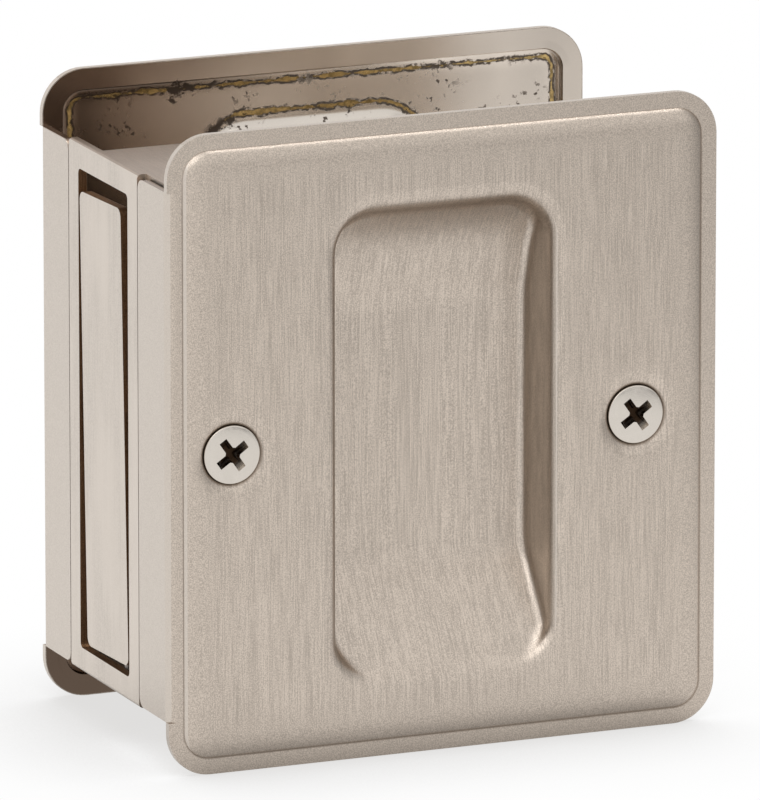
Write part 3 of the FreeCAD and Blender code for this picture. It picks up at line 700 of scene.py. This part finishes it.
def panel_rings(sizes):
    """Rings of the panel's front skin, from the cup's spine outwards: across, up, height above the rim."""
    rise = sizes.panel_raise
    cup = outline(sizes.cup_half_width, sizes.cup_half_height, sizes.cup_corner, -sizes.cup_drop)
    walls = []
    for x, z, facing_x, facing_z in cup:
        endwise = facing_z * facing_z
        up = z + sizes.cup_drop
        end_lip = sizes.top_lip if facing_z > 0 else sizes.bottom_lip
        end_angle = sizes.top_angle if facing_z > 0 else sizes.bottom_angle
        step = 0.1 * MM
        depth = floor_depth(sizes, x, up)
        inner = floor_depth(sizes, x - facing_x * step, up - facing_z * step)
        profile = wall_profile(
            depth, max(0.0, inner - depth) / step,
            sizes.side_lip + (end_lip - sizes.side_lip) * endwise,
            sizes.side_bend + (sizes.end_bend - sizes.side_bend) * endwise,
            sizes.wall_angle + (end_angle - sizes.wall_angle) * endwise)
        walls.append([
            (x - facing_x * inward, z - facing_z * inward, rise - down) for inward, down in profile])
    wall_rings = [list(ring) for ring in zip(*walls)]
    feet = wall_rings[-1]

    rings = []
    spine = sizes.cup_flat - 1 * MM
    for step in range(FLOOR_STEPS):
        to_spine = 1 - step / FLOOR_STEPS
        ring = []
        for x, z, height in feet:
            up = z + sizes.cup_drop
            end = max(-spine, min(spine, up))
            here = up + (end - up) * to_spine
            across = x * (1 - to_spine)
            slip = rise - height - floor_depth(sizes, x, up)
            depth = floor_depth(sizes, across, here) + slip * (1 - to_spine) ** 2
            ring.append((across, here - sizes.cup_drop, rise - depth))
        rings.append(ring)
    rings.extend(reversed(wall_rings))

    half_width = HALF_WIDTH - sizes.rim_width
    half_height = HALF_HEIGHT - sizes.rim_width
    corner = sizes.plate_corner - sizes.rim_width

    def contour(inset, height):
        bend = max(corner - inset, SMALLEST_CORNER)
        return [(x, z, height) for x, z, _, _ in outline(half_width - inset, half_height - inset, bend)]

    lip = wall_rings[0]
    roll = contour(sizes.panel_roll, rise)
    for step in range(1, FLAT_STEPS):
        part = step / FLAT_STEPS
        rings.append([
            (a[0] + (b[0] - a[0]) * part, a[1] + (b[1] - a[1]) * part, rise) for a, b in zip(lip, roll)])
    for step in range(ROLL_STEPS):
        outward = math.sin(math.pi / 2 * step / ROLL_STEPS)
        fall = ROLL_SPREAD * outward ** 3 + (1 - ROLL_SPREAD) * outward ** 10
        rings.append(contour(sizes.panel_roll * (1 - outward), rise * (1 - fall)))
    rings.append(contour(0.0, -SINK))
    rings.append(contour(-BORDER, -SINK))
    return rings


def dish_depth(sizes, x, z):
    """Depth of the pressed dish round the nearer bolt."""
    radius = min(math.hypot(x - middle, z) for middle in BOLTS)
    slope = sizes.dish_slope
    start = sizes.dish_radius + sizes.dish_roll * math.tan(slope / 2)
    inward = start - max(radius, sizes.bolt_hole)
    if inward <= 0:
        return 0.0
    straight = inward - sizes.dish_roll * math.sin(slope)
    if straight <= 0:
        return sizes.dish_roll - math.sqrt(sizes.dish_roll ** 2 - inward ** 2)
    return sizes.dish_roll * (1 - math.cos(slope)) + straight * math.tan(slope)


def panel_skin(sizes):
    """Sheet of the raised panel with its cup, in the front plate's place."""
    shape = bmesh.new()
    rim = plate_low.y + sizes.panel_raise
    loops = []
    for ring in panel_rings(sizes):
        loops.append([
            shape.verts.new((x, rim - height + dish_depth(sizes, x, z), HALF_HEIGHT + z))
            for x, z, height in ring])
    skin(shape, loops)
    mesh = finished_mesh("panel_skin", shape)
    largest = max(mesh.polygons, key=lambda face: face.area)
    if largest.normal.y > 0:
        mesh.flip_normals()
    piece = new_object("panel_skin", mesh)
    thicken = piece.modifiers.new("sheet", "SOLIDIFY")
    thicken.thickness = sizes.sheet
    thicken.offset = -1.0
    thicken.use_even_offset = True
    solid = baked(piece)
    bpy.data.objects.remove(piece)
    return solid


def prism(loop, low, high):
    """Closed prism over an upright loop of points, between two depths."""
    shape = bmesh.new()
    ends = [[shape.verts.new((x, depth, HALF_HEIGHT + z)) for x, z in loop] for depth in (low, high)]
    skin(shape, ends)
    for end in ends:
        shape.faces.new(end)
    return finished_mesh("prism", shape)


def bolt_hole(sizes, middle, count=64):
    """Prism that cuts one bolt hole through the sheet."""
    loop = []
    for step in range(count):
        turn = math.tau * step / count
        loop.append((middle + sizes.bolt_hole * math.cos(turn), sizes.bolt_hole * math.sin(turn)))
    return prism(loop, *CUT)


def pressed_plate(sizes):
    """Whole front plate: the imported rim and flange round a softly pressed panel."""
    rim = welded_copy("front_plate")
    inset = sizes.rim_width - BORDER / 4
    crease = outline(HALF_WIDTH - inset, HALF_HEIGHT - inset, sizes.plate_corner - inset)
    rim = combined(rim, prism([(x, z) for x, z, _, _ in crease], *CUT), "DIFFERENCE")
    plate = panel_skin(sizes)
    for middle in BOLTS:
        plate = combined(plate, bolt_hole(sizes, middle), "DIFFERENCE")
    return combined(plate, rim, "UNION")


# Screws

CROWN_STEPS = 8
ROUND_STEPS = 4
THREAD_STEPS = 8
FEWEST_SCREW_FACES = 1000


def lathe(name, rings, pitch, segments=72):
    """Closed turned shape about Y from rings of height, radius and thread depth."""
    shape = bmesh.new()
    loops = []
    for height, radius, thread in rings:
        loop = []
        for index in range(segments):
            turn = math.tau * index / segments
            phase = (height / pitch - index / segments) % 1.0
            reach = radius - thread * abs(2 * phase - 1)
            loop.append(shape.verts.new((reach * math.cos(turn), height, reach * math.sin(turn))))
        loops.append(loop)
    skin(shape, loops)
    for loop, height in ((loops[0], 0.0), (loops[-1], rings[-1][0])):
        tip = shape.verts.new((0.0, height, 0.0))
        for index in range(segments):
            shape.faces.new((loop[index], loop[(index + 1) % segments], tip))
    return finished_mesh(name, shape)


def screw_rings(sizes):
    """Rings from the screw's crown to its tip; the crown is at height 0 and the tip at positive height."""
    rings = []
    round_width = 0.12 * MM
    round_depth = 0.1 * MM
    point_length = 0.4 * MM
    point_inset = 0.45 * MM
    crown = SCREW_RADIUS - round_width
    for step in range(1, CROWN_STEPS + 1):
        part = step / CROWN_STEPS
        rings.append((sizes.head_dome * part ** 2, crown * part, 0.0))
    for step in range(1, ROUND_STEPS + 1):
        bend = math.pi / 2 * step / ROUND_STEPS
        rings.append((sizes.head_dome + round_depth * (1 - math.cos(bend)),
                      crown + round_width * math.sin(bend), 0.0))
    seat = sizes.head_dome + sizes.head_edge
    rings.append((seat, SCREW_RADIUS, 0.0))
    neck = seat + sizes.cone_depth
    rings.append((neck, sizes.shank_radius, 0.0))
    tip = screws_high.y - screws_low.y
    start = neck + sizes.thread_pitch / 2
    count = int((tip - start) / sizes.thread_pitch * THREAD_STEPS)
    for step in range(count + 1):
        height = start + (tip - point_length - start) * step / count
        fade = min(1.0, step / THREAD_STEPS)
        rings.append((height, sizes.shank_radius, sizes.thread_depth * fade))
    rings.append((tip, sizes.shank_radius - point_inset, 0.0))
    return rings


def recess_cutter(sizes):
    """Tapered cross with a widened middle, standing a little out of the crown."""
    shape = bmesh.new()
    loops = []

    # Height below the crown, and the shares of the arm's length, its width and the web that are left there
    for height, reach, half, web in (
            (-0.3 * MM, 1.1, 1.1, 0.5), (0.0, 1.0, 1.0, 0.45),
            (sizes.recess_depth * 0.75, 0.72, 0.7, 0.4), (sizes.recess_depth, 0.42, 0.55, 0.1)):
        arm = sizes.recess_length / 2 * reach
        side = sizes.recess_width / 2 * half
        corner = side + sizes.recess_width / 2 * web
        quarter = [(arm, -side), (arm, side), (corner, side), (side, corner)]
        loop = []
        for turn in range(4):
            cosine, sine = math.cos(turn * math.pi / 2), math.sin(turn * math.pi / 2)
            for u, v in quarter:
                loop.append(shape.verts.new((u * cosine - v * sine, height, u * sine + v * cosine)))
        loops.append(loop)
    skin(shape, loops)
    shape.faces.new(loops[0])
    shape.faces.new(loops[-1])
    return finished_mesh("recess_cutter", shape)


def row_tree(material):
    """Nodes that set copies of a pattern in a row and turn them about the row's depth."""
    tree = bpy.data.node_groups.new("bolt_row", "GeometryNodeTree")
    sockets = {}
    for name, kind in (("Geometry", "Geometry"), ("Pattern", "Object"), ("Count", "Int"),
                       ("Spacing", "Float"), ("Start", "Vector"), ("Turn", "Float")):
        socket = tree.interface.new_socket(name, in_out="INPUT", socket_type=f"NodeSocket{kind}")
        sockets[name] = socket.identifier
    tree.interface.new_socket("Geometry", in_out="OUTPUT", socket_type="NodeSocketGeometry")
    new = tree.nodes.new
    given = new("NodeGroupInput").outputs
    pattern = new("GeometryNodeObjectInfo")
    offset = new("ShaderNodeCombineXYZ")
    line = new("GeometryNodeMeshLine")
    turn = new("ShaderNodeCombineXYZ")
    place = new("GeometryNodeInstanceOnPoints")
    real = new("GeometryNodeRealizeInstances")
    paint = new("GeometryNodeSetMaterial")
    paint.inputs["Material"].default_value = material
    end = new("NodeGroupOutput")
    link(tree, (
        (given["Pattern"], pattern.inputs["Object"]),
        (given["Spacing"], offset.inputs["X"]),
        (given["Count"], line.inputs["Count"]),
        (given["Start"], line.inputs["Start Location"]),
        (offset.outputs[0], line.inputs["Offset"]),
        (line.outputs[0], place.inputs["Points"]),
        (pattern.outputs["Geometry"], place.inputs["Instance"]),
        (given["Turn"], turn.inputs["Y"]),
        (turn.outputs[0], place.inputs["Rotation"]),
        (place.outputs[0], real.inputs[0]),
        (real.outputs[0], paint.inputs["Geometry"]),
        (paint.outputs[0], end.inputs[0])))
    return tree, sockets


def smooth_mesh(mesh, degrees):
    """Shade a mesh smooth, with edges sharper than the given angle kept."""
    shape = bmesh.new()
    shape.from_mesh(mesh)
    shape.normal_update()
    for face in shape.faces:
        face.smooth = True
    for edge in shape.edges:
        edge.smooth = edge.calc_face_angle(0.0) < math.radians(degrees)
    shape.to_mesh(mesh)
    shape.free()


# Operators

class PULL_OT_plates(bpy.types.Operator):
    """Finish the two pressed plates"""

    bl_idname = "pull.plates"
    bl_label = "Plates"

    def execute(self, context):
        sizes = context.scene.pull_sizes
        material = plate_metal(sizes, context.scene.pull_finish)
        front = pressed_plate(sizes)
        rear = front.copy()
        rear.transform(Matrix.Translation((0, 0, 2 * HALF_HEIGHT)) @ Matrix.Rotation(math.pi, 4, "X"))
        for node, mesh in (("front_plate", front), ("rear_plate", rear)):
            if len(mesh.polygons) < FEWEST_SHEET_FACES:
                raise RuntimeError(f"the pressed sheet of {node} came out empty")
            mesh.name = node + "_sheet"
            smooth_mesh(mesh, SHEET_CREASE)
            piece = new_piece(node + "_sheet", mesh, material)
            weigh_normals(piece)
            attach(piece, "pull_frame")
            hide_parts(node)
        return {"FINISHED"}


class PULL_OT_case(bpy.types.Operator):
    """Finish the slotted edge case"""

    bl_idname = "pull.case"
    bl_label = "Edge case"

    def execute(self, context):
        scene = context.scene
        material = edge_metal("satin_nickel_case", scene.pull_sizes, scene.pull_finish, slotted=True)
        dress("edge_case", material)
        return {"FINISHED"}


class PULL_OT_lever(bpy.types.Operator):
    """Finish the sprung edge pull"""

    bl_idname = "pull.lever"
    bl_label = "Edge pull"

    def execute(self, context):
        scene = context.scene
        material = edge_metal("satin_nickel_pull", scene.pull_sizes, scene.pull_finish, slotted=False)
        dress("edge_pull", material)
        return {"FINISHED"}


class PULL_OT_bolts(bpy.types.Operator):
    """Finish the barrel nuts and make the screws"""

    bl_idname = "pull.bolts"
    bl_label = "Screws and barrels"

    def execute(self, context):
        sizes = context.scene.pull_sizes
        material = bright_metal(sizes, context.scene.pull_finish)
        dress("barrel_nuts", material)
        blank = lathe("screw_blank", screw_rings(sizes), sizes.thread_pitch)
        pattern = new_piece("screw_pattern", combined(blank, recess_cutter(sizes), "DIFFERENCE"), material)

        row = new_piece("plate_screw_pair", bpy.data.meshes.new("plate_screw_pair"), material)
        tree, sockets = row_tree(material)
        modifier = row.modifiers.new("bolt_row", "NODES")
        modifier.node_group = tree
        modifier[sockets["Pattern"]] = pattern
        modifier[sockets["Count"]] = 2
        modifier[sockets["Spacing"]] = SCREW_SPACING
        modifier[sockets["Start"]] = (pivot.x, screws_low.y, pivot.z)
        modifier[sockets["Turn"]] = -sizes.recess_turn
        mesh = baked(row)
        row.modifiers.clear()
        row.data = mesh
        bpy.data.objects.remove(pattern)
        if len(mesh.polygons) < FEWEST_SCREW_FACES:
            raise RuntimeError("the screws came out empty")
        smooth_mesh(mesh, SCREW_CREASE)
        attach(row, "pull_frame")
        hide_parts("plate_screws")
        return {"FINISHED"}


class PULL_OT_spring(bpy.types.Operator):
    """Make the return spring, a torsion spring set between the frame and the edge pull"""

    bl_idname = "pull.spring"
    bl_label = "Return spring"

    def execute(self, context):
        mesh = welded_copy("return_spring")
        mesh.name = "torsion_wire"
        wire = new_piece("torsion_wire", mesh, wire_metal(context.scene.pull_finish))
        smooth_mesh(mesh, WIRE_CREASE)
        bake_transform(wire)
        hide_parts("return_spring")
        return {"FINISHED"}


class PULL_OT_stage(bpy.types.Operator):
    """Set the floor, the light and the camera"""

    bl_idname = "pull.stage"
    bl_label = "Studio stage"

    def execute(self, context):
        scene = context.scene
        stage = scene.pull_stage
        self.world(scene, stage)
        self.floor(stage)
        self.softbox("left_softbox", stage.left_power, offset=Vector((-0.35, -0.25, 0.55)), sides=(0.7, 0.5))
        self.softbox("top_softbox", stage.top_power, offset=Vector((0.25, -0.02, 0.61)), sides=(0.3, 0.15))
        self.camera(scene, stage)
        scene.view_settings.view_transform = "Standard"
        return {"FINISHED"}

    @staticmethod
    def seen(graph):
        """1 for rays that show the background: camera, mirror and glass rays."""
        path = graph.add("ShaderNodeLightPath").outputs
        rays = graph.larger(path["Is Camera Ray"], path["Is Glossy Ray"])
        return graph.larger(rays, path["Is Transmission Ray"])

    @staticmethod
    def dimmed(graph, value, low, high, level):
        """1 for camera rays; for others it falls to the given level from low to high."""
        path = graph.add("ShaderNodeLightPath").outputs
        return graph.larger(graph.between(value, low, high, 1.0, level), path["Is Camera Ray"])

    def world(self, scene, stage):
        graph = Graph(bpy.data.worlds.new("studio"))
        level = graph.blend(self.seen(graph), stage.fill, 1.0)
        across = graph.axes(graph.direction)[0]
        strength = graph.times(level, self.dimmed(graph, across, 0.55, 0.95, stage.right_side))
        back = graph.add("ShaderNodeBackground", (1, 1, 1, 1), strength)
        graph.add("ShaderNodeOutputWorld", back.outputs[0])
        scene.world = graph.owner

    def floor(self, stage):
        shape = bmesh.new()
        bmesh.ops.create_grid(shape, x_segments=4, y_segments=4, size=3.0)
        mesh = bpy.data.meshes.new("studio_floor")
        shape.to_mesh(mesh)
        shape.free()
        graph = Graph(bpy.data.materials.new("pale_floor"))
        shade = graph.add("ShaderNodeAmbientOcclusion", inputs={"Distance": 30 * MM}, samples=8)
        open_floor = graph.between(shade.outputs["AO"], 0.35, 1.0)
        tone = graph.mix(open_floor, stage.shadow, stage.floor)
        across = graph.axes(graph.place)[0]
        closed_in = graph.minus(1.0, shade.outputs["AO"])
        strength = graph.times(self.dimmed(graph, across, 0.09, 0.25, stage.right_side),
                              self.dimmed(graph, closed_in, 0.1, 0.5, stage.contact))
        glow = graph.add("ShaderNodeEmission", tone, strength)
        matt = graph.add("ShaderNodeBsdfDiffuse", (0.85, 0.85, 0.85, 1))
        choose = graph.add("ShaderNodeMixShader", self.seen(graph), matt.outputs[0], glow.outputs[0])
        graph.add("ShaderNodeOutputMaterial", choose.outputs[0])
        floor = new_piece("studio_floor", mesh, graph.owner)

    def softbox(self, name, watts, offset, sides):
        lamp = bpy.data.lights.new(name, "AREA")
        lamp.shape = "RECTANGLE"
        lamp.size, lamp.size_y = sides
        lamp.energy = watts
        box = new_object(name, lamp)
        box.location = Vector((0, 0, HALF_HEIGHT)) + offset
        box.rotation_euler = offset.to_track_quat("Z", "Y").to_euler()

    def camera(self, scene, stage):
        lens = bpy.data.cameras.new("photo_view")
        lens.lens = stage.lens
        lens.sensor_width = 36.0
        lens.clip_end = 20.0
        camera = new_object("photo_view", lens)
        level = math.cos(stage.elevation)
        back = Vector((
            math.sin(stage.azimuth) * level, -math.cos(stage.azimuth) * level, math.sin(stage.elevation)))
        camera.rotation_euler = back.to_track_quat("Z", "Y").to_euler()
        right = Vector((math.cos(stage.azimuth), math.sin(stage.azimuth), 0))
        upward = back.cross(right)
        aim = Vector((0, 0, HALF_HEIGHT)) + right * stage.aim_right - upward * stage.aim_down
        camera.location = aim + back * stage.distance
        scene.camera = camera


class PULL_PT_panel(bpy.types.Panel):
    """Lists the steps and the values they use"""

    bl_idname = "PULL_PT_panel"
    bl_label = "Pocket door pull"
    bl_space_type = "VIEW_3D"
    bl_region_type = "UI"
    bl_category = "Door pull"

    def draw(self, context):
        for step in STEPS:
            self.layout.operator(step.bl_idname)
        for group in (context.scene.pull_sizes, context.scene.pull_finish, context.scene.pull_stage):
            box = self.layout.box()
            for name in group.bl_rna.properties.keys():
                if name not in ("rna_type", "name"):
                    box.prop(group, name)


STEPS = (PULL_OT_plates, PULL_OT_case, PULL_OT_lever, PULL_OT_bolts, PULL_OT_spring, PULL_OT_stage)
CLASSES = (PullSizes, PullFinish, PullStage, *STEPS, PULL_PT_panel)


def register():
    for item in CLASSES:
        bpy.utils.register_class(item)
    bpy.types.Scene.pull_sizes = bpy.props.PointerProperty(type=PullSizes)
    bpy.types.Scene.pull_finish = bpy.props.PointerProperty(type=PullFinish)
    bpy.types.Scene.pull_stage = bpy.props.PointerProperty(type=PullStage)


def unregister():
    del bpy.types.Scene.pull_stage
    del bpy.types.Scene.pull_finish
    del bpy.types.Scene.pull_sizes
    for item in reversed(CLASSES):
        bpy.utils.unregister_class(item)


def main():
    register()
    bpy.ops.pull.plates()
    bpy.ops.pull.case()
    bpy.ops.pull.lever()
    bpy.ops.pull.bolts()
    bpy.ops.pull.spring()
    bpy.ops.pull.stage()


if __name__ == "__main__":
    main()
